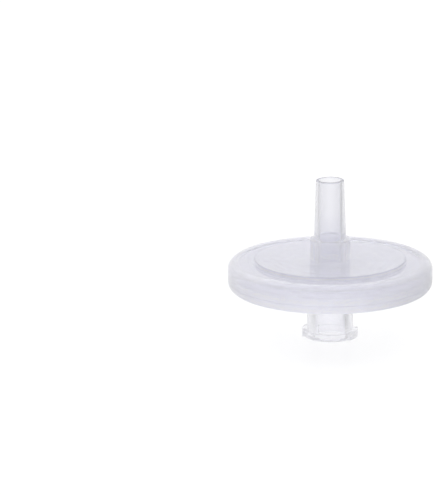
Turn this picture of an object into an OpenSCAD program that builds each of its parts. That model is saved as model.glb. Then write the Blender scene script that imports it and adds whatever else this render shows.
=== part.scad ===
// Syringe filter, 25 mm class, standing on its inlet fitting.
// The origin is at the middle of the inlet mouth; +Z runs from inlet to outlet.
// Flow enters the female lock socket below, spreads between the ribs, passes the
// membrane and drains through the channels above it into the slip tip.

/* [Membrane and chamber] */
// Diameter of the membrane disc
membrane_d = 25; // [20:0.1:30]
// Thickness of the membrane
membrane_t = 0.18; // [0.1:0.01:0.3]
// Free gap round the edge of the membrane in its pocket
membrane_gap = 0.05; // [0.02:0.01:0.2]
// Width of the margin of the membrane that the housings clamp
clamp_w = 1.9; // [1:0.1:3]

/* [Housing plates] */
// Thickness of the inlet plate under the flow chamber
inlet_wall = 1.2; // [0.8:0.05:2]
// Thickness of the outlet flange over the drain space
outlet_wall = 1.22; // [1:0.02:2]
// Height of the raised round face above the outlet flange
plateau_step = 0.55; // [0.3:0.05:1]
// Rounding of the edge of the raised face
plateau_round = 0.12; // [0.05:0.01:0.25]
// Width of the face outside the membrane where the housings meet
weld_w = 0.8; // [0.6:0.05:1.5]
// Thickness of each housing's tongue inside the sealing ring
tongue_t = 0.9; // [0.6:0.05:1.1]

/* [Sealing ring] */
// Wall of the sealing ring outside the housings
ring_wall = 0.95; // [0.6:0.05:1.5]
// Reach of the ring's lips over the edges of the housings
lip_w = 0.55; // [0.3:0.05:0.75]
// Height of the upper lip above the outlet flange
lip_proud = 0.25; // [0.1:0.01:0.4]
// Depth of the lower lip below the inlet plate
lip_drop = 0.2; // [0.1:0.01:0.4]
// Rounding of the ring's upper shoulder
shoulder_top = 1.15; // [0.4:0.05:1.4]
// Rounding of the ring's lower shoulder
shoulder_under = 1.35; // [0.4:0.05:1.4]
// Rounding of the inner edges of both lips
lip_round = 0.1; // [0.03:0.01:0.15]

/* [Flow ribs] */
// Number of ribs, long and short by turns
rib_count = 16; // [8:2:20]
// Width of a rib
rib_w = 1.05; // [0.6:0.05:1.2]
// Height of the ribs above the inlet plate
rib_h = 0.65; // [0.3:0.05:1]
// Distance from the axis to the inner ends of the long ribs
rib_long_start = 3.6; // [3:0.1:5]
// Distance from the axis to the inner ends of the short ribs
rib_short_start = 5.5; // [5:0.1:8]

/* [Membrane support] */
// Depth of the drain space above the membrane
drain_h = 0.45; // [0.2:0.05:0.6]
// Number of round lands that hold the membrane
land_count = 5; // [2:1:6]
// Width of each land
land_w = 0.6; // [0.4:0.05:0.9]
// Distance from one land to the next
land_pitch = 1.6; // [1.2:0.05:1.6]
// Distance from the axis to the middle of the first land
land_start = 2.7; // [2.4:0.05:3]
// Number of radial drain channels across the lands
channel_count = 8; // [4:1:12]
// Width of a radial drain channel
channel_w = 1; // [0.5:0.05:1.2]

/* [Inlet fitting] */
// Height of the inlet hub, from its mouth to the plate
hub_h = 7; // [6:0.1:9]
// Diameter of the hub where it leaves the mouth ring
hub_d = 6.4; // [6:0.05:6.8]
// Growth of the hub's diameter up to the plate
hub_draft = 0.15; // [0:0.01:0.3]
// Rounding between hub and plate
hub_fillet = 0.4; // [0.1:0.05:0.8]
// Diameter of the socket at its mouth
socket_d = 4.3; // [4.27:0.005:4.315]
// Depth of the socket
socket_depth = 7.6; // [7.5:0.05:7.8]
// Bevel at the mouth of the socket
socket_bevel = 0.15; // [0.05:0.01:0.3]
// Diameter of the flow hole at the bottom of the socket
inlet_hole_d = 2.1; // [1.5:0.1:3]
// Diameter of the low ring round the mouth
mouth_ring_d = 7.2; // [6.9:0.05:7.4]
// Height of the low ring round the mouth
mouth_ring_h = 0.95; // [0.5:0.05:1.1]
// Size across the two lock lugs
lug_span = 7.83; // [7.73:0.01:7.83]
// Width of a lug
lug_w = 3.5; // [3:0.05:3.6]
// Height of a lug
lug_h = 1.1; // [1:0.05:1.4]
// Direction of the lugs round the axis
lug_turn = -18.5; // [-90:0.5:90]

/* [Outlet fitting] */
// Diameter of the slip tip at its free end
tip_d = 3.97; // [3.925:0.005:3.99]
// Length of the tip above its collar
tip_len = 8.33; // [7.5:0.05:12]
// Rounding of the outer edge of the tip
tip_round = 0.15; // [0.05:0.01:0.25]
// Diameter of the bore through the outlet
bore_d = 3; // [1.5:0.1:3.2]
// Diameter of the collar under the tip
collar_d = 5.7; // [5:0.05:6.5]
// Height of the collar above the raised face
collar_h = 2.85; // [1:0.05:5]
// Rounding between the tip and the top of its collar
tip_fillet = 0.35; // [0.1:0.05:0.4]
// Rounding of the collar's edge, and of its foot on the raised face
collar_round = 0.15; // [0.05:0.01:0.3]
// Growth of a luer cone's diameter for each millimetre of its length
luer_taper = 0.06; // [0.05:0.005:0.07]

/* [Hidden] */
$fn = 96;
overlap = 0.2; // by which a cutter runs past the face it cuts

inlet_colour = [0.88, 0.88, 0.92];
outlet_colour = [0.86, 0.86, 0.90];
ring_colour = [0.93, 0.93, 0.96];
membrane_colour = [0.97, 0.97, 0.97];

// radii, from the membrane outwards
membrane_r = membrane_d / 2;
chamber_r = membrane_r - clamp_w;
pocket_r = membrane_r + membrane_gap;
tongue_r = pocket_r + weld_w;
lip_r = tongue_r - lip_w;
ring_r = tongue_r + ring_wall;

// heights, from the inlet mouth upwards
plate_z = hub_h;
floor_z = plate_z + inlet_wall;
membrane_z = floor_z + rib_h;
support_z = membrane_z + membrane_t;
drain_z = support_z + drain_h;
flange_z = drain_z + outlet_wall;
plateau_z = flange_z + plateau_step;
collar_z = plateau_z + collar_h;
top_z = collar_z + tip_len;
ring_under_z = plate_z - lip_drop;
ring_top_z = flange_z + lip_proud;

// The corner of a square that lies outside a quarter round of radius r.
// It fills an inner corner or, cut away, rounds an outer one.
module corner(r) {
    difference() {
        square(r);
        translate([r, r]) circle(r);
    }
}

// The same corner turned to face the quadrant (sx, sy) from the point at.
module corner_at(at, r, sx, sy) {
    translate(at) mirror([sx < 0 ? 1 : 0, 0]) mirror([0, sy < 0 ? 1 : 0]) corner(r);
}

// A rectangle of the half section, between two radii and two heights.
module band(r_in, r_out, z_low, z_high) {
    translate([r_in, z_low]) square([r_out - r_in, z_high - z_low]);
}

// Half section of the inlet housing, before its socket is bored.
module inlet_section() {
    hub_top_r = (hub_d + hub_draft) / 2;
    band(0, lip_r, plate_z, membrane_z);
    band(0, tongue_r, membrane_z - tongue_t, membrane_z);
    band(pocket_r, tongue_r, membrane_z - tongue_t, support_z);
    band(0, mouth_ring_d / 2, 0, mouth_ring_h);
    polygon([[0, 0], [hub_d / 2, 0], [hub_top_r, plate_z - hub_fillet], [hub_top_r, floor_z],
             [0, floor_z]]);
    corner_at([hub_top_r, plate_z], hub_fillet, 1, -1);
}

// Plan of one flow rib, from the given distance from the axis out past the chamber wall.
module rib_plan(start) {
    centre = start + rib_w / 2;
    translate([centre, -rib_w / 2]) square([chamber_r + overlap - centre, rib_w]);
    translate([centre, 0]) circle(d = rib_w);
}

// The flow chamber: a shallow round space with the ribs left standing in it.
module flow_chamber() {
    translate([0, 0, floor_z]) linear_extrude(rib_h + overlap) difference() {
        circle(r = chamber_r);
        for (i = [0 : rib_count - 1])
            rotate((i + 0.5) * 360 / rib_count)
                rib_plan(i % 2 == 0 ? rib_long_start : rib_short_start);
    }
}

// The two lock lugs: what two parallel faces leave of a disc at the mouth.
module lugs() {
    rotate([0, 0, lug_turn]) intersection() {
        cylinder(d = lug_span, h = lug_h);
        translate([-lug_span, -lug_w / 2, 0]) cube([2 * lug_span, lug_w, lug_h]);
    }
}

module inlet_housing() {
    socket_end_d = socket_d - luer_taper * socket_depth;
    color(inlet_colour) difference() {
        union() {
            rotate_extrude() inlet_section();
            lugs();
        }
        flow_chamber();
        cylinder(d1 = socket_d, d2 = socket_end_d, h = socket_depth);
        translate([0, 0, -overlap])
            cylinder(d1 = socket_d + 2 * (socket_bevel + overlap), d2 = socket_d,
                     h = socket_bevel + overlap);
        cylinder(d = inlet_hole_d, h = floor_z + overlap);
    }
}

module membrane() {
    color(membrane_colour) translate([0, 0, membrane_z]) cylinder(r = membrane_r, h = membrane_t);
}

// Half section of the outlet housing, before its bore and drain channels are cut.
module outlet_section() {
    foot_r = tip_d / 2 + luer_taper * tip_len / 2;
    difference() {
        union() {
            band(0, tongue_r, support_z, support_z + tongue_t);
            band(0, lip_r, support_z, flange_z);
            band(0, chamber_r, support_z, plateau_z);
            band(0, collar_d / 2, support_z, collar_z);
            polygon([[0, support_z], [foot_r, support_z], [foot_r, collar_z],
                     [tip_d / 2, top_z], [0, top_z]]);
            corner_at([foot_r, collar_z], tip_fillet, 1, 1);
            corner_at([collar_d / 2, plateau_z], collar_round, 1, 1);
        }
        corner_at([chamber_r, plateau_z], plateau_round, -1, -1);
        corner_at([collar_d / 2, collar_z], collar_round, -1, -1);
        corner_at([tip_d / 2, top_z], tip_round, -1, -1);
    }
}

// Plan of the lands: rings round the axis, cut through by the radial drain channels.
module lands_plan() {
    difference() {
        for (i = [0 : land_count - 1])
            let (middle_r = land_start + i * land_pitch)
            difference() {
                circle(r = middle_r + land_w / 2);
                circle(r = middle_r - land_w / 2);
            }
        for (i = [0 : channel_count - 1])
            rotate(i * 360 / channel_count)
                translate([0, -channel_w / 2]) square([chamber_r, channel_w]);
    }
}

// The drain space: a shallow round space with the lands left standing in it.
module drain_space() {
    translate([0, 0, support_z - overlap]) linear_extrude(drain_h + overlap) difference() {
        circle(r = chamber_r);
        lands_plan();
    }
}

module outlet_housing() {
    color(outlet_colour) difference() {
        rotate_extrude() outlet_section();
        translate([0, 0, support_z - overlap])
            cylinder(d = bore_d, h = top_z - support_z + 2 * overlap);
        drain_space();
    }
}

// Half section of the ring: a rounded bar with a slot for the tongues of both housings.
module ring_section() {
    difference() {
        band(lip_r, ring_r, ring_under_z, ring_top_z);
        corner_at([ring_r, ring_top_z], shoulder_top, -1, -1);
        corner_at([ring_r, ring_under_z], shoulder_under, -1, 1);
        corner_at([lip_r, ring_top_z], lip_round, 1, -1);
        corner_at([lip_r, ring_under_z], lip_round, 1, 1);
        band(lip_r - overlap, tongue_r, membrane_z - tongue_t, support_z + tongue_t);
    }
}

module sealing_ring() {
    color(ring_colour) rotate_extrude() ring_section();
}

inlet_housing();
membrane();
outlet_housing();
sealing_ring();
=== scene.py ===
import math
import bmesh
import bpy
import numpy as np
from mathutils import Matrix, Vector


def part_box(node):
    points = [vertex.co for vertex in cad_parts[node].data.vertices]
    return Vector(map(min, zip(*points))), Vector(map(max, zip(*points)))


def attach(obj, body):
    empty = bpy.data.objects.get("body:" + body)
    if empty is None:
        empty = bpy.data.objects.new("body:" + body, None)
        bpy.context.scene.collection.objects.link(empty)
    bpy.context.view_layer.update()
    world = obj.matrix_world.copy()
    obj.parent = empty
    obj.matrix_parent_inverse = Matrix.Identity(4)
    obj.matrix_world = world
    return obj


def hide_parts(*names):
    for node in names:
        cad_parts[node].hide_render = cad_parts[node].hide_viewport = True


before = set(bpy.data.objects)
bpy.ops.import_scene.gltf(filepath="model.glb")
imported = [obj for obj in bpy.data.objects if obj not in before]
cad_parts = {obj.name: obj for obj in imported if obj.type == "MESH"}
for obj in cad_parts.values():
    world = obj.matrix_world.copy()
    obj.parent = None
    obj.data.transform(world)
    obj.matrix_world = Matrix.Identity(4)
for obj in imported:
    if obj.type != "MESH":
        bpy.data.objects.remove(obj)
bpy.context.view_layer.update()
mm = 0.001
columns = 256  # columns of faces round every turned piece, 16 to each flow rib
seat = 0.015  # mm of air left between pieces that touch, so that light leaves one and enters the next
sharpAngle = 32  # degrees; an edge that turns more than this is shaded as an edge
mergeWithin = 1e-7  # m; points closer together than this become one
print("frame loaded")


# Small tools for surfaces

def arc(centre, radius, first, last, steps=8):
    # points on a circle: centre plus radius times (cos, sin) of an angle that runs evenly, in degrees
    turn = np.radians(np.linspace(first, last, steps + 1))
    return np.array(centre) + radius * np.stack([np.cos(turn), np.sin(turn)], 1)


def outline(*parts, hold=0.05):
    # the parts end to end; every straight run gets a point close to each of its ends, at a distance of
    # hold, so that the smooth shading of a corner doesn't creep over the flat face beside it
    points = np.vstack([np.atleast_2d(part) for part in parts])
    runs = np.diff(points, axis=0)
    lengths = np.linalg.norm(runs, axis=1, keepdims=True)
    near = points[:-1] + runs * hold / np.maximum(lengths, hold)
    far = points[1:] - runs * hold / np.maximum(lengths, hold)
    rows = np.stack([points[:-1], near, far], 1)
    keep = np.stack([np.full(len(runs), True), lengths[:, 0] > 4 * hold, lengths[:, 0] > 4 * hold], 1)
    return np.vstack([rows[keep], points[-1:]])


def evenTurn(phase=0.0):
    # the angle of each column where columns stand evenly round the axis: its number less the phase, as a
    # share of a full turn
    return (np.arange(columns) - phase) * 2 * math.pi / columns


def stripTurn(halfAngle, stripSteps):
    # the angle of each column where strips with parallel sides cross the grid. halfAngle[row, strip] is half
    # of what a strip takes up at that row. Columns 0 to stripSteps of a strip run from its one edge to the
    # other, and the rest run evenly to the next strip, so two columns meet at every edge and make its wall
    strips = halfAngle.shape[1]
    share = columns // strips
    strip, step = np.divmod(np.arange(columns), share)
    onStrip = step <= stripSteps
    across = step / stripSteps * 2 - 1
    gap = (step - stripSteps - 1) / (share - stripSteps - 2)
    here = halfAngle[:, strip]
    after = halfAngle[:, (strip + 1) % strips]
    pitch = 2 * math.pi / strips
    between = here + gap * (pitch - here - after)
    return strip * pitch + np.where(onStrip, across * here, between), onStrip, strip


def solidOfGrid(name, radius, height, turn, closedSection=True):
    # point (row, column) stands at radius, height and turn about the axis. Columns close round the axis, and
    # rows close into a loop round the section; points that fall together are merged into one
    radius, height, turn = np.broadcast_arrays(radius, height, turn)
    rows = radius.shape[0]
    points = np.stack([radius * np.cos(turn), radius * np.sin(turn), height], -1).reshape(-1, 3) * mm
    bands = rows if closedSection else rows - 1
    row, column = np.meshgrid(np.arange(bands), np.arange(columns), indexing="ij")
    nextRow, nextColumn = (row + 1) % rows, (column + 1) % columns
    faces = np.stack([row * columns + column, row * columns + nextColumn,
                      nextRow * columns + nextColumn, nextRow * columns + column], -1).reshape(-1, 4)
    mesh = bpy.data.meshes.new(name)
    mesh.from_pydata(points.tolist(), [], faces.tolist())
    work = bmesh.new()
    work.from_mesh(mesh)
    bmesh.ops.remove_doubles(work, verts=work.verts, dist=mergeWithin)
    bmesh.ops.recalc_face_normals(work, faces=work.faces)
    work.to_mesh(mesh)
    work.free()
    mesh.shade_smooth()
    mesh.set_sharp_from_angle(angle=math.radians(sharpAngle))
    piece = bpy.data.objects.new(name, mesh)
    bpy.context.scene.collection.objects.link(piece)
    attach(piece, "root")
    return piece


# Small tools for materials

def linear(hexColour):
    # an sRGB hex colour as linear red, green, blue and alpha: a channel over 12.92 where it is dark, and else
    # a power of 2.4
    parts = [int(hexColour[i:i + 2], 16) / 255 for i in (1, 3, 5)]
    return [c / 12.92 if c <= 0.04045 else ((c + 0.055) / 1.055) ** 2.4 for c in parts] + [1]


def addNode(tree, kind, settings=(), links=()):
    # a node of that kind: settings go to its sockets or its own properties, links to its sockets
    node = tree.nodes.new(kind)
    for key, value in dict(settings).items():
        if isinstance(key, str) and hasattr(node, key):
            setattr(node, key, value)
        else:
            node.inputs[key].default_value = value
    for key, source in dict(links).items():
        tree.links.new(source, node.inputs[key])
    return node


def newMaterial(name):
    # a material with an empty tree of nodes
    material = bpy.data.materials.new(name)
    material.use_nodes = True
    material.node_tree.nodes.clear()
    return material, material.node_tree


# Natural polypropylene

polypropylene = {"bend": 1.49, "forwardScatter": 0.5, "roughnessSpread": 0.15, "cloudDetail": 3.0,
                 "cloudRoughness": 0.5, "rippleDetail": 1.0, "markCore": 0.35}


def paintedShadeAndSpotMask(tree, place, rings, spots):
    # a mark's strength on it and 0 beside it, falling smoothly from the core's share of its width to all of
    # it. A ring is a band of painted shade round the axis: a radius, a height, a width and a strength, and
    # its distance is taken in the half plane of radius and height. A spot is a point, a width and a strength,
    # and darkens round that point. Where marks meet, the stronger one holds
    flat = addNode(tree, "ShaderNodeVectorMath", {"operation": "MULTIPLY", 1: (1, 1, 0)}, {0: place})
    radius = addNode(tree, "ShaderNodeVectorMath", {"operation": "LENGTH"}, {0: flat.outputs["Vector"]})
    height = addNode(tree, "ShaderNodeSeparateXYZ", {}, {0: place})
    half = addNode(tree, "ShaderNodeCombineXYZ", {}, {"X": radius.outputs["Value"], "Z": height.outputs["Z"]})
    marks = [(half.outputs[0], (r, 0, z), width, strength) for r, z, width, strength in rings]
    marks += [(place, point, width, strength) for point, width, strength in spots]
    mask = None
    for source, point, width, strength in marks:
        middle = tuple(v * mm for v in point)
        away = addNode(tree, "ShaderNodeVectorMath", {"operation": "DISTANCE", 1: middle}, {0: source})
        mark = addNode(tree, "ShaderNodeMapRange",
                       {"interpolation_type": "SMOOTHSTEP", "To Min": strength, "To Max": 0.0,
                        "From Min": width * mm * polypropylene["markCore"], "From Max": width * mm},
                       {"Value": away.outputs["Value"]}).outputs["Result"]
        mask = mark if mask is None else addNode(tree, "ShaderNodeMath", {"operation": "MAXIMUM"},
                                                 {0: mask, 1: mark}).outputs[0]
    return mask


def mouldedPolypropylene(name, look):
    # Injection-moulded natural polypropylene. Light scatters inside it, so the plates are milky and bluish,
    # while the stems stay clear and show their bore: milk and tint run evenly from plate to stem with height.
    # Outside it is glossy, because it was pressed against a polished mould. The marks are painted shade on
    # the step, a painted shadow line along the plateau's edge and painted shade round the tube's mouth, and
    # two darker spots
    material, tree = newMaterial(name)
    place = addNode(tree, "ShaderNodeTexCoord").outputs["Object"]
    cloud = addNode(tree, "ShaderNodeTexNoise", {"Scale": 1 / (look["cloudSize"] * mm),
                                                 "Detail": polypropylene["cloudDetail"],
                                                 "Roughness": polypropylene["cloudRoughness"]},
                    {"Vector": place})
    tint = addNode(tree, "ShaderNodeMix", {"data_type": "RGBA", 6: linear(look["colour"]),
                                           7: linear(look["cloudColour"])}, {"Factor": cloud.outputs["Fac"]})
    height = addNode(tree, "ShaderNodeSeparateXYZ", {}, {0: place}).outputs["Z"]
    plateEnd, stemStart = look["milkFades"]
    stem = addNode(tree, "ShaderNodeMapRange", {"From Min": plateEnd * mm, "From Max": stemStart * mm},
                   {"Value": height}).outputs["Result"]
    colour = addNode(tree, "ShaderNodeMix", {"data_type": "RGBA", 7: linear(look["stemColour"])},
                     {"Factor": stem, 6: tint.outputs[2]}).outputs[2]
    # painted shade: the rings darken the plateau's step, draw a shadow line along its edge and shade the
    # tube's mouth; the spots darken two points
    if "paintedShadeAndSpotColour" in look:
        mask = paintedShadeAndSpotMask(tree, place, look["rings"], look["spots"])
        colour = addNode(tree, "ShaderNodeMix", {"data_type": "RGBA", 7: linear(look["paintedShadeAndSpotColour"])},
                         {"Factor": mask, 6: colour}).outputs[2]
    spread = polypropylene["roughnessSpread"]
    rough = addNode(tree, "ShaderNodeMapRange", {"To Min": look["roughness"] * (1 - spread),
                                                 "To Max": look["roughness"] * (1 + spread)},
                    {"Value": cloud.outputs["Fac"]})
    ripple = addNode(tree, "ShaderNodeTexNoise", {"Scale": 1 / (look["rippleSize"] * mm),
                                                  "Detail": polypropylene["rippleDetail"]},
                     {"Vector": place})
    bump = addNode(tree, "ShaderNodeBump", {"Strength": 1.0, "Distance": look["rippleHeight"] * mm},
                   {"Height": ripple.outputs["Fac"]})
    shader = addNode(tree, "ShaderNodeBsdfPrincipled",
                     {"IOR": polypropylene["bend"], "Transmission Weight": look["clearness"]},
                     {"Base Color": colour, "Roughness": rough.outputs["Result"],
                      "Normal": bump.outputs["Normal"]})
    dense = addNode(tree, "ShaderNodeMapRange", {"To Min": look["milk"] / mm,
                                                 "To Max": look["stemMilk"] / mm}, {"Value": stem})
    milk = addNode(tree, "ShaderNodeVolumeScatter", {"Color": linear(look["milkColour"]),
                                                     "Anisotropy": polypropylene["forwardScatter"]},
                   {"Density": dense.outputs["Result"]})
    addNode(tree, "ShaderNodeOutputMaterial", {}, {"Surface": shader.outputs["BSDF"],
                                                   "Volume": milk.outputs["Volume"]})
    return material


def sinteredPtfe(name, look):
    # Stretched PTFE membrane: a felt of fine fibrils, so it is plain white, matt and opaque. Its real fibrils
    # are near a micrometre, too fine to show, so the mottle is drawn at a few tenths of a millimetre
    material, tree = newMaterial(name)
    place = addNode(tree, "ShaderNodeTexCoord").outputs["Object"]
    felt = addNode(tree, "ShaderNodeTexNoise", {"Scale": 1 / (look["feltSize"] * mm),
                                                "Detail": look["feltDetail"],
                                                "Roughness": look["feltRoughness"]}, {"Vector": place})
    tint = addNode(tree, "ShaderNodeMix", {"data_type": "RGBA", 6: linear(look["colour"]),
                                           7: linear(look["feltColour"])}, {"Factor": felt.outputs["Fac"]})
    bump = addNode(tree, "ShaderNodeBump", {"Strength": look["feltStrength"],
                                            "Distance": look["feltHeight"] * mm},
                   {"Height": felt.outputs["Fac"]})
    shader = addNode(tree, "ShaderNodeBsdfPrincipled", {"IOR": look["bend"], "Roughness": look["roughness"]},
                     {"Base Color": tint.outputs[2], "Normal": bump.outputs["Normal"]})
    addNode(tree, "ShaderNodeOutputMaterial", {}, {"Surface": shader.outputs["BSDF"]})
    return material


# Membrane

membraneForm = {"rim": 0.03}
membraneLook = {"colour": "#F5F5F7", "feltColour": "#ECECEF", "feltSize": 0.35, "feltHeight": 0.01,
                "feltDetail": 6.0, "feltRoughness": 0.65, "feltStrength": 0.6, "roughness": 0.65,
                "bend": 1.35}


def membraneDisc():
    # half section turned about the axis: a flat disc whose rim has a small quarter circle above and below
    low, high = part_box("membrane")
    r, bottom, top, rim = high.x / mm, low.z / mm + seat, high.z / mm - seat, membraneForm["rim"]
    points = outline([0, top], arc((r - rim, top - rim), rim, 90, 0, steps=3),
                     arc((r - rim, bottom + rim), rim, 0, -90, steps=3), [0, bottom])
    piece = solidOfGrid("ptfeMembrane", points[:, :1], points[:, 1:], evenTurn(), closedSection=False)
    piece.data.materials.append(sinteredPtfe("sinteredPtfe", membraneLook))
    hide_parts("membrane")
    return piece


# Outlet housing

outletForm = {"bore": 1.5, "tip": 1.985, "tipLength": 8.33, "tipRound": 0.15, "taper": 0.03, "foot": 0.35,
              "collar": 2.85, "collarHeight": 2.85, "collarRound": 0.15, "plateau": 10.6, "plateauStep": 0.55,
              "plateauRound": 0.12, "flangeWall": 1.22, "lip": 12.8, "tongue": 0.9, "drain": 0.45,
              "lands": 5, "landWidth": 0.6, "landPitch": 1.6, "landStart": 2.7, "channels": 8,
              "channelWidth": 1.0, "boreRound": 0.03, "stepFoot": 0.06}
# the outlet's mark colour is painted shade: its rings darken the plateau's step, draw a shadow line along the
# plateau's edge and shade the tube's mouth, and its spots are two darker points
outletLook = {"colour": "#F2F2F9", "cloudColour": "#F7F7FD", "stemColour": "#F5F5F8", "cloudSize": 3.0,
              "roughness": 0.04, "clearness": 1.0, "milkColour": "#F8F8FF", "milk": 0.8, "stemMilk": 0.3,
              "milkFades": (12.0, 18.0), "rippleSize": 2.5, "rippleHeight": 0.0002, "paintedShadeAndSpotColour": "#BCBCC8",
              "rings": [(10.6, 10.98, 0.42, 0.45), (10.58, 11.23, 0.19, 0.7), (1.75, 22.41, 0.32, 1.0)],
              "spots": [((-11.29, 1.59, 10.7), 0.22, 1.0), ((4.28, -0.37, 11.25), 0.15, 0.7)]}


def outletShell():
    # A closed section turned about the axis. The under side is a second grid, whose rows step down on to the
    # round lands and whose columns open at the radial channels that cross them
    form = outletForm
    low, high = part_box("outlet_housing")
    under, top, rim = low.z / mm + seat / 2, high.z / mm, high.x / mm
    support = low.z / mm
    drain = support + form["drain"]
    flange = drain + form["flangeWall"]
    plateau = flange + form["plateauStep"]
    collar = plateau + form["collarHeight"]
    tip, tipRound, foot = form["tip"], form["tipRound"], form["tip"] + form["taper"] * form["tipLength"]
    ring, ringRound = form["collar"], form["collarRound"]
    bore, boreRound, face, faceRound = form["bore"], form["boreRound"], form["plateau"], form["plateauRound"]
    stepFoot, tongueTop = form["stepFoot"], support + form["tongue"]
    outside = outline(
        [bore, drain], arc((bore + boreRound, top - boreRound), boreRound, 180, 90, steps=3),
        arc((tip - tipRound, top - tipRound), tipRound, 90, 0),
        arc((foot + form["foot"], collar + form["foot"]), form["foot"], 180, 270),
        arc((ring - ringRound, collar - ringRound), ringRound, 90, 0),
        arc((ring + ringRound, plateau + ringRound), ringRound, 180, 270),
        arc((face - faceRound, plateau - faceRound), faceRound, 90, 0),
        arc((face + stepFoot, flange + stepFoot), stepFoot, 180, 270, steps=4),
        [form["lip"], flange], [form["lip"], tongueTop], [rim, tongueTop], [rim, under])
    # under side, from the rim inwards: radius of each row, and its height between and in the channels
    radii, heights = [form["plateau"], form["plateau"]], [under, drain]
    for land in reversed(range(form["lands"])):
        middle = form["landStart"] + land * form["landPitch"]
        outer, inner = middle + form["landWidth"] / 2, middle - form["landWidth"] / 2
        radii += [outer, outer, inner, inner]
        heights += [drain, under, under, drain]
    radii, heights = np.array(radii)[:, None], np.array(heights)[:, None]
    halfAngle = np.arcsin(form["channelWidth"] / 2 / radii) * np.ones((1, form["channels"]))
    turn, inChannel, channel = stripTurn(halfAngle, stripSteps=6)
    channelFloor = np.where(radii < form["plateau"], drain, heights)
    radius = np.vstack([outside[:, :1] * np.ones(columns), radii * np.ones(columns)])
    height = np.vstack([outside[:, 1:] * np.ones(columns), np.where(inChannel, channelFloor, heights)])
    turns = np.vstack([np.ones((len(outside), 1)) * evenTurn(phase=3), turn])
    piece = solidOfGrid("outletShell", radius, height, turns)
    piece.data.materials.append(mouldedPolypropylene("mouldedPolypropyleneOutlet", outletLook))
    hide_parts("outlet_housing")
    return piece


# Inlet housing

inletForm = {"socket": 2.15, "taper": 0.03, "socketDepth": 7.6, "bevel": 0.15, "hole": 1.05, "hub": 3.2,
             "hubTop": 3.275, "fillet": 0.4, "mouthRing": 3.6, "mouthRingHeight": 0.95, "lug": 3.915,
             "lugHalfWidth": 1.75, "lugHeight": 1.1, "lugTurn": -18.5, "edge": 0.08, "plate": 7.0,
             "plateWall": 1.2, "lip": 12.8, "pocket": 12.55, "chamber": 10.6, "tongue": 0.9, "ribs": 16,
             "ribWidth": 1.05, "longStart": 3.6, "shortStart": 5.5, "ledgeFrom": 0.01}
inletLook = {"colour": "#FCFCFE", "cloudColour": "#FAFAFD", "stemColour": "#FBFBFE", "cloudSize": 3.0,
             "roughness": 0.04, "clearness": 1.0, "milkColour": "#FCFCFF", "milk": 0.8, "stemMilk": 0.17,
             "milkFades": (7.0, 6.5), "rippleSize": 2.5, "rippleHeight": 0.0002}


def ribHalfAngle(radii, start, width):
    # half of the angle that a rib takes up at a radius: on its round inner end by the cosine rule in the
    # triangle of the axis, the end's centre and the point, and further out by the sine of half its width
    half = width / 2
    centre = start + half
    roundEnd = np.arccos(np.clip((radii ** 2 + centre ** 2 - half ** 2) / (2 * radii * centre), -1, 1))
    return np.where(radii < math.hypot(centre, half), roundEnd, np.arcsin(np.minimum(half / radii, 1)))


def lugTurns(form):
    # the even columns, with the nearest ones moved on to the corners of the lugs
    turn = evenTurn(phase=2) + math.pi / form["ribs"]
    corners = np.arcsin(form["lugHalfWidth"] / np.array([form["lug"], form["mouthRing"], form["hub"]]))
    corners = np.concatenate([corners, -corners])
    corners = np.concatenate([corners, corners + math.pi]) + math.radians(form["lugTurn"])
    apart = np.angle(np.exp(1j * (corners[:, None] - turn[None])))
    nearest = np.argmin(np.abs(apart), 1)
    turn[nearest] += apart[np.arange(len(corners)), nearest]
    return turn


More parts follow.
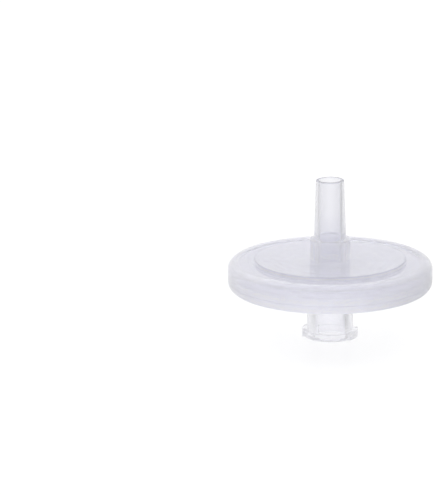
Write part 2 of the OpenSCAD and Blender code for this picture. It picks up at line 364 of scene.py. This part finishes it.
def inletShell():
    # A closed section turned about the axis. At the mouth the radius follows the lugs round the axis: the
    # lug's end is a circle, its sides are straight, and the hub or mouth ring is what stands out beside it.
    # In the flow chamber the rows step up on to the ribs, and the columns keep the ribs' sides parallel
    form = inletForm
    low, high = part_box("inlet_housing")
    rim, support, membrane = high.x / mm, high.z / mm - seat / 2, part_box("membrane")[0].z / mm
    plate, floor = form["plate"], form["plate"] + form["plateWall"]
    edge, filletCentre = form["edge"], plate - form["fillet"]
    turn = lugTurns(form)
    aside = np.abs(np.sin(turn - math.radians(form["lugTurn"])))
    lug = np.minimum(form["lug"], form["lugHalfWidth"] / np.maximum(aside, 1e-6))
    foot = np.maximum(form["mouthRing"], lug)
    hub = np.maximum(form["hub"], lug)
    step = np.minimum(edge, (foot - hub) / 2)
    ledge = np.minimum(edge, np.maximum(hub - form["hub"] - form["ledgeFrom"], 0) / 2)
    ringTop, lugTop = form["mouthRingHeight"], form["lugHeight"]
    corner = arc((0, 0), 1, 0, 90, steps=4)
    rows = [(foot - edge + edge * s, edge - edge * c + 0 * foot) for c, s in corner]
    rows += [(foot - step + step * c, ringTop - step + step * s) for c, s in corner]
    rows += [(hub, ringTop + 0 * hub)]
    rows += [(hub - ledge + ledge * c, lugTop - ledge + ledge * s) for c, s in corner]
    mouth = np.stack([np.stack(row) for row in rows])
    tongueLow = membrane - form["tongue"]
    growth = (form["hubTop"] - form["hub"]) / filletCentre
    shell = outline([form["hub"] + growth * lugTop, lugTop],
                    arc((form["hubTop"] + form["fillet"], filletCentre), form["fillet"], 180, 90),
                    [form["lip"], plate], [form["lip"], tongueLow], [rim, tongueLow], [rim, support],
                    [form["pocket"], support], [form["pocket"], membrane])
    start = [form["longStart"], form["shortStart"]]
    endSteps, halfRib = 8, form["ribWidth"] / 2
    ease = 1 - np.cos(np.linspace(0, math.pi / 2, endSteps + 1))
    ends = [s + ease[1:] * (math.hypot(s + halfRib, halfRib) - s) for s in start]
    radii = np.concatenate([[form["chamber"]] * 2, ends[1][::-1], [start[1]] * 2, ends[0][::-1],
                            [start[0]] * 2])
    onLong = np.arange(len(radii)) < len(radii) - 1
    onShort = np.arange(len(radii)) < endSteps + 3
    kinds = np.arange(form["ribs"]) % 2
    halfAngle = np.stack([ribHalfAngle(radii, start[k], form["ribWidth"]) for k in kinds], 1)
    ribTurn, onRib, rib = stripTurn(halfAngle, stripSteps=4)
    ribTop = np.where(kinds[rib][None] == 0, onLong[:, None], onShort[:, None])
    chamber = np.where(onRib[None] & ribTop, membrane, floor)
    chamber[0] = membrane
    ribTurn = ribTurn + math.pi / form["ribs"]
    socketEnd = form["socket"] - form["taper"] * form["socketDepth"]
    socket = outline([form["hole"], floor], [form["hole"], form["socketDepth"]],
                     [socketEnd, form["socketDepth"]],
                     [form["socket"] - form["taper"] * form["bevel"], form["bevel"]],
                     [form["socket"] + form["bevel"], 0])
    wide = np.ones(columns)
    even = evenTurn(phase=2) + math.pi / form["ribs"]
    radius = np.vstack([mouth[:, 0], shell[:, :1] * wide, radii[:, None] * wide, socket[:, :1] * wide])
    height = np.vstack([mouth[:, 1], shell[:, 1:] * wide, chamber, socket[:, 1:] * wide])
    turns = np.vstack([wide[None] * 0 + turn] * len(mouth) + [np.ones((len(shell), 1)) * even, ribTurn,
                      np.ones((len(socket), 1)) * even])
    piece = solidOfGrid("inletShell", radius, height, turns)
    piece.data.materials.append(mouldedPolypropylene("mouldedPolypropyleneInlet", inletLook))
    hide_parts("inlet_housing")
    return piece


# Sealing ring

ringForm = {"lip": 12.8, "tongueRim": 13.35, "tongue": 0.9, "topRound": 1.15, "underRound": 1.35,
            "lipRound": 0.23}
# the ring lies wholly below the heights at which its milk would fade, so it is milky all through
ringLook = {"colour": "#F4F4FA", "cloudColour": "#F8F8FD", "stemColour": "#F5F5F8", "cloudSize": 3.0,
            "roughness": 0.04, "clearness": 1.0, "milkColour": "#F8F8FF", "milk": 1.1, "stemMilk": 0.8,
            "milkFades": (20, 21), "rippleSize": 2.5, "rippleHeight": 0.0002}


def sealingBand():
    # half section turned about the axis: a bar with two large shoulders outside, two small lips inside and
    # a slot between the lips that holds the tongues of both housings
    form = ringForm
    low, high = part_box("sealing_ring")
    rim, under, top = high.x / mm, low.z / mm, high.z / mm
    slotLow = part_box("membrane")[0].z / mm - form["tongue"] - seat
    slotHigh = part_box("membrane")[1].z / mm + form["tongue"] + seat
    lip, slot, small = form["lip"] + seat, form["tongueRim"] + seat, form["lipRound"]
    a, b = form["topRound"], form["underRound"]
    points = outline(arc((lip + small, top - small), small, 180, 90, steps=4),
                     arc((rim - a, top - a), a, 90, 0, steps=24),
                     arc((rim - b, under + b), b, 0, -90, steps=24),
                     arc((lip + small, under + small), small, 270, 180, steps=4),
                     [lip, slotLow], [slot, slotLow], [slot, slotHigh], [lip, slotHigh])
    piece = solidOfGrid("sealingBand", points[:, :1], points[:, 1:], evenTurn())
    piece.data.materials.append(mouldedPolypropylene("overmouldedPolypropyleneRing", ringLook))
    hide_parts("sealing_ring")
    return piece


for make in (membraneDisc, outletShell, inletShell, sealingBand):
    piece = make()
    print(piece.name, len(piece.data.polygons), "faces")


# Floor, light and camera

studio = {"floorSize": 3.0, "floorColour": "#F4F4F6", "floorRoughness": 0.2, "floorGloss": 1.0,
          "floorWhite": 1.08, "floorShare": 0.7, "cameraFloor": 1.04, "nearFloor": (0.003, 0.015),
          "shade": 0.99, "shadeEdge": (0.012, 0.03), "leftGrey": 0.65, "leftEdge": (-0.85, -0.3),
          "rightGrey": 0.46, "rightEdge": (0.3, 0.85), "frontFloor": 1.5, "frontFloorEdge": (-0.6, 0.0),
          "frontRoom": 0.3, "frontRoomEdge": (-0.5, 0.2), "ceiling": 1.98, "ceilingEdge": (0.3, 0.8)}


def roomLight(tree, direction, sides):
    # level of the room in a direction: for each side the level runs smoothly from the first to the last one
    # along an axis, and the levels are multiplied
    parts = addNode(tree, "ShaderNodeSeparateXYZ", {}, {0: direction})
    level = None
    for axis, start, end, first, last in sides:
        side = addNode(tree, "ShaderNodeMapRange", {"interpolation_type": "SMOOTHSTEP", "From Min": start,
                                                    "From Max": end, "To Min": first, "To Max": last},
                       {"Value": parts.outputs[axis]}).outputs["Result"]
        level = side if level is None else addNode(tree, "ShaderNodeMath", {"operation": "MULTIPLY"},
                                                   {0: level, 1: side}).outputs[0]
    return level


greyWalls = [("X", *studio["leftEdge"], studio["leftGrey"], 1.0),
             ("X", *studio["rightEdge"], 1.0, studio["rightGrey"])]


def whiteFloor():
    # a square sheet in the ground plane, clear from below. Matt rays see lit acrylic. For the rest a share of
    # it is glow: the camera's glow is even and white, and that of rays off gloss or through clear plastic is
    # the room's level in the direction from the origin, white near the foot, with a trace of shade there.
    # No real floor does this; it is an aid that draws the dark lines in clear walls
    size = studio["floorSize"]
    mesh = bpy.data.meshes.new("floor")
    corners = np.array([[-1, -1, 0], [1, -1, 0], [1, 1, 0], [-1, 1, 0]]) * size / 2
    mesh.from_pydata(corners.tolist(), [], [[0, 1, 2, 3]])
    floor = bpy.data.objects.new("floor", mesh)
    bpy.context.scene.collection.objects.link(floor)
    material, tree = newMaterial("whiteAcrylicFloor")
    lit = addNode(tree, "ShaderNodeBsdfPrincipled", {"Base Color": linear(studio["floorColour"]),
                                                     "Roughness": studio["floorRoughness"],
                                                     "Specular IOR Level": studio["floorGloss"]})
    path = addNode(tree, "ShaderNodeLightPath")
    place = addNode(tree, "ShaderNodeTexCoord").outputs["Object"]
    away = addNode(tree, "ShaderNodeVectorMath", {"operation": "NORMALIZE"}, {0: place}).outputs["Vector"]
    reach = addNode(tree, "ShaderNodeVectorMath", {"operation": "LENGTH"}, {0: place}).outputs["Value"]
    room = roomLight(tree, away, greyWalls + [("Y", *studio["frontFloorEdge"], studio["frontFloor"], 1.0)])
    near, far = studio["nearFloor"]
    beyond = addNode(tree, "ShaderNodeMapRange", {"interpolation_type": "SMOOTHSTEP", "From Min": near,
                                                  "From Max": far}, {"Value": reach})
    start, end = studio["shadeEdge"]
    shade = addNode(tree, "ShaderNodeMapRange", {"interpolation_type": "SMOOTHSTEP", "From Min": start,
                                                 "From Max": end, "To Min": studio["shade"]},
                    {"Value": reach})
    around = addNode(tree, "ShaderNodeMix", {"data_type": "FLOAT", 2: 1.0},
                     {0: beyond.outputs["Result"], 3: room})
    around = addNode(tree, "ShaderNodeMath", {"operation": "MULTIPLY"}, {0: around.outputs[0],
                                                                         1: shade.outputs["Result"]})
    level = addNode(tree, "ShaderNodeMix", {"data_type": "FLOAT", 3: studio["cameraFloor"]},
                    {0: path.outputs["Is Camera Ray"], 2: around.outputs[0]})
    strength = addNode(tree, "ShaderNodeMath", {"operation": "MULTIPLY", 1: studio["floorWhite"]},
                       {0: level.outputs[0]})
    white = addNode(tree, "ShaderNodeEmission", {}, {"Strength": strength.outputs[0]})
    cameraOrGloss = addNode(tree, "ShaderNodeMath", {"operation": "MAXIMUM"},
                            {0: path.outputs["Is Camera Ray"], 1: path.outputs["Is Glossy Ray"]})
    notMatt = addNode(tree, "ShaderNodeMath", {"operation": "MAXIMUM"},
                      {0: cameraOrGloss.outputs[0], 1: path.outputs["Is Transmission Ray"]})
    share = addNode(tree, "ShaderNodeMath", {"operation": "MULTIPLY", 1: studio["floorShare"]},
                    {0: notMatt.outputs[0]})
    mixed = addNode(tree, "ShaderNodeMixShader", {},
                    {0: share.outputs[0], 1: lit.outputs[0], 2: white.outputs[0]})
    under = addNode(tree, "ShaderNodeNewGeometry").outputs["Backfacing"]
    clear = addNode(tree, "ShaderNodeBsdfTransparent")
    sided = addNode(tree, "ShaderNodeMixShader", {}, {0: under, 1: mixed.outputs[0], 2: clear.outputs[0]})
    addNode(tree, "ShaderNodeOutputMaterial", {}, {"Surface": sided.outputs[0]})
    mesh.materials.append(material)


def studioWorld():
    # the camera sees plain white. Every other ray gets the level of its direction: white behind, grey walls
    # at the sides, a dim room in front and a bright ceiling, multiplied
    world = bpy.data.worlds.new("studio")
    bpy.context.scene.world = world
    world.use_nodes = True
    tree = world.node_tree
    tree.nodes.clear()
    toSky = addNode(tree, "ShaderNodeTexCoord").outputs["Generated"]
    room = roomLight(tree, toSky, greyWalls + [("Y", *studio["frontRoomEdge"], studio["frontRoom"], 1.0),
                                               ("Z", *studio["ceilingEdge"], 1.0, studio["ceiling"])])
    path = addNode(tree, "ShaderNodeLightPath")
    strength = addNode(tree, "ShaderNodeMix", {"data_type": "FLOAT", 3: 1.0},
                       {0: path.outputs["Is Camera Ray"], 2: room})
    shade = addNode(tree, "ShaderNodeBackground", {"Color": (1, 1, 1, 1)}, {"Strength": strength.outputs[0]})
    addNode(tree, "ShaderNodeOutputWorld", {}, {"Surface": shade.outputs[0]})


camera = {"elevation": 15.05, "distance": 450.0, "aim": (0, 0, 11.0), "focal": 234.4, "panRight": 2.0,
          "tiltUp": 0.212, "sensor": 36, "nearest": 0.01, "furthest": 20}


def photoCamera():
    # the camera looks along +Y and down; it is panned past the object, which stands right of the middle
    lens = bpy.data.cameras.new("camera")
    lens.lens, lens.sensor_width = camera["focal"], camera["sensor"]
    lens.clip_start, lens.clip_end = camera["nearest"], camera["furthest"]
    holder = bpy.data.objects.new("camera", lens)
    bpy.context.scene.collection.objects.link(holder)
    rise = math.radians(camera["elevation"])
    aim = Vector(camera["aim"]) * mm
    place = aim + Vector((0, -math.cos(rise), math.sin(rise))) * camera["distance"] * mm
    look = (aim - place).to_track_quat("-Z", "Y").to_matrix()
    pan = Matrix.Rotation(math.radians(camera["panRight"]), 3, "Y")
    tilt = Matrix.Rotation(math.radians(camera["tiltUp"]), 3, "X")
    holder.matrix_world = Matrix.Translation(place) @ (look @ pan @ tilt).to_4x4()
    bpy.context.scene.camera = holder


whiteFloor()
studioWorld()
photoCamera()
bpy.context.scene.view_settings.view_transform = "Standard"
paths = bpy.context.scene.cycles
paths.max_bounces, paths.transmission_bounces, paths.glossy_bounces, paths.volume_bounces = 48, 32, 24, 24
paths.blur_glossy = 0.0
print("stage set")
